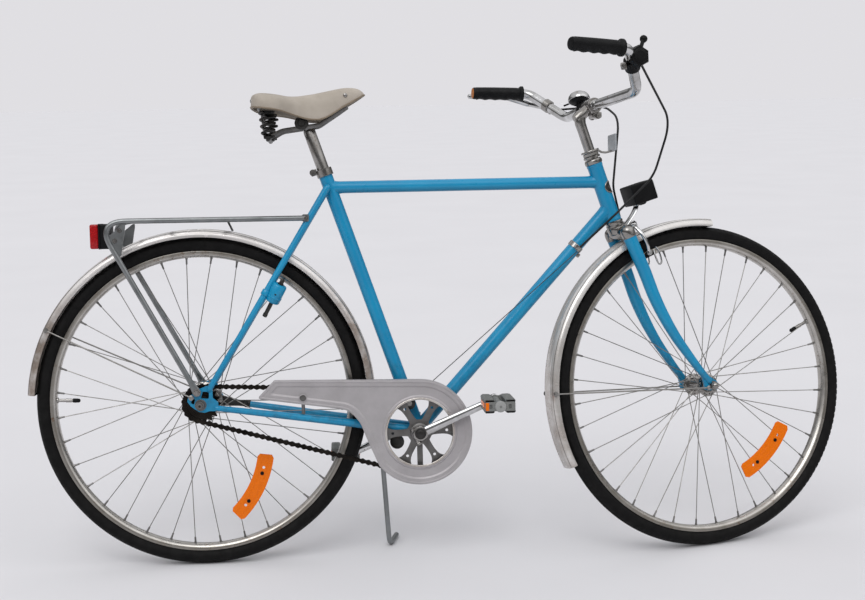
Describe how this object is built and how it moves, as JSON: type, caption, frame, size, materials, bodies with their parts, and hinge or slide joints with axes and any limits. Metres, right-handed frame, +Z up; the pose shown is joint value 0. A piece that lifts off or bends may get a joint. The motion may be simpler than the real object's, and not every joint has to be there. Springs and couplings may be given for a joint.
{
  "type": "city bicycle",
  "caption": "Gentleman's city bicycle with diamond frame, swept handlebar, mudguards, rear carrier, chainguard and side stand; wheels, cranks and steering turn.",
  "frame": {"origin": "middle of the leaning bicycle's footprint box, on the ground", "axes": "+X forward, +Y to the rider's left, +Z up; the bicycle leans left on its side stand"},
  "size_m": [1.7658, 0.5738, 1.0841],
  "materials": {
    "blue_paint": "gloss",
    "chrome": "polished",
    "stainless": "brushed",
    "grey_tube": "satin",
    "aluminium": "matt",
    "black_steel": "satin",
    "black_plastic": "matt",
    "grey_plastic": "matt",
    "tyre": "matt",
    "cream": "satin",
    "orange": "clear",
    "red": "clear"
  },
  "bodies": {
    "frame": {"head_tube": "blue_paint", "seat_tube": "blue_paint", "top_tube": "blue_paint", "down_tube": "blue_paint", "bottom_bracket": "blue_paint", "chainstays": "blue_paint", "seatstays": "blue_paint", "headset_cups": "chrome", "seatpost": "chrome", "seat_collar": "chrome", "saddle_cover": "cream", "saddle_rails": "chrome", "saddle_springs": "black_steel", "rear_axle": "chrome", "rear_mudguard": "stainless", "rear_stays": "stainless", "gear_cable": "black_plastic", "gear_wire": "black_plastic", "brake_arm": "grey_tube", "frame_lock": "blue_paint", "carrier": "grey_tube", "tail_lamp": "black_plastic", "tail_lens": "red", "chainguard": "aluminium", "chain": "black_steel", "stand_bracket": "grey_tube"},
    "rear_wheel": {"rear_tyre": "tyre", "rear_rim": "stainless", "rear_hub": "chrome", "rear_spokes": "stainless", "rear_reflector": "orange"},
    "front_wheel": {"front_tyre": "tyre", "front_rim": "stainless", "front_hub": "chrome", "front_spokes": "stainless", "front_reflector": "orange"},
    "steering": {"front_axle": "chrome", "fork_steerer": "chrome", "fork_blades": "blue_paint", "handlebar": "chrome", "stem": "chrome", "grips": "black_plastic", "brake_lever": "black_plastic", "shifter": "black_plastic", "bell": "chrome", "headlamp": "black_plastic", "lamp_strip": "chrome", "front_reflector_plate": "grey_plastic", "front_mudguard": "stainless", "front_stays": "stainless", "front_brake": "chrome", "brake_cable": "black_plastic"},
    "cranks": {"chainring": "grey_tube", "crank_axle": "chrome", "crank_arms": "chrome"},
    "pedal_right": {"pedal_right": "grey_plastic"},
    "pedal_left": {"pedal_left": "grey_plastic"},
    "sprocket": {"rear_sprocket": "black_steel"},
    "stand": {"side_stand": "grey_tube"}
  },
  "joints": [
    {"name": "steering_turn", "type": "hinge", "parent": "frame", "child": "steering", "pos_m": [0.33775, -0.01979, 0.76118], "axis": [-0.3133, 0.0992, 0.9445], "range_deg": [-75.5, 44.5], "deforming": ["gear_cable"]},
    {"name": "front_wheel_spin", "type": "hinge", "parent": "steering", "child": "front_wheel", "pos_m": [0.54779, -0.04522, 0.34012], "axis": [-0.2539, 0.9496, -0.184], "continuous": true},
    {"name": "rear_wheel_spin", "type": "hinge", "parent": "frame", "child": "rear_wheel", "pos_m": [-0.52179, -0.06374, 0.34369], "axis": [-0.0001, 0.9945, -0.1045], "continuous": true},
    {"name": "crank_spin", "type": "hinge", "parent": "frame", "child": "cranks", "pos_m": [-0.06984, -0.07137, 0.27074], "axis": [-0.0001, 0.9945, -0.1045], "continuous": true},
    {"name": "sprocket_spin", "type": "hinge", "parent": "frame", "child": "sprocket", "pos_m": [-0.52179, -0.06374, 0.34369], "axis": [-0.0001, 0.9945, -0.1045], "continuous": true},
    {"name": "pedal_right_spin", "type": "hinge", "parent": "cranks", "child": "pedal_right", "pos_m": [0.0867, -0.19471, 0.35038], "axis": [-0.0001, 0.9945, -0.1045], "continuous": true},
    {"name": "pedal_left_spin", "type": "hinge", "parent": "cranks", "child": "pedal_left", "pos_m": [-0.22639, 0.05197, 0.19111], "axis": [-0.0001, 0.9945, -0.1045], "continuous": true},
    {"name": "stand_fold", "type": "hinge", "parent": "frame", "child": "stand", "pos_m": [-0.14987, -0.03033, 0.24035], "axis": [-0.0001, 0.9945, -0.1045], "range_deg": [0, 85]}
  ],
  "couplings": [
    {"joint": "sprocket_spin", "follows": "crank_spin", "ratio": 2.4444}
  ]
}
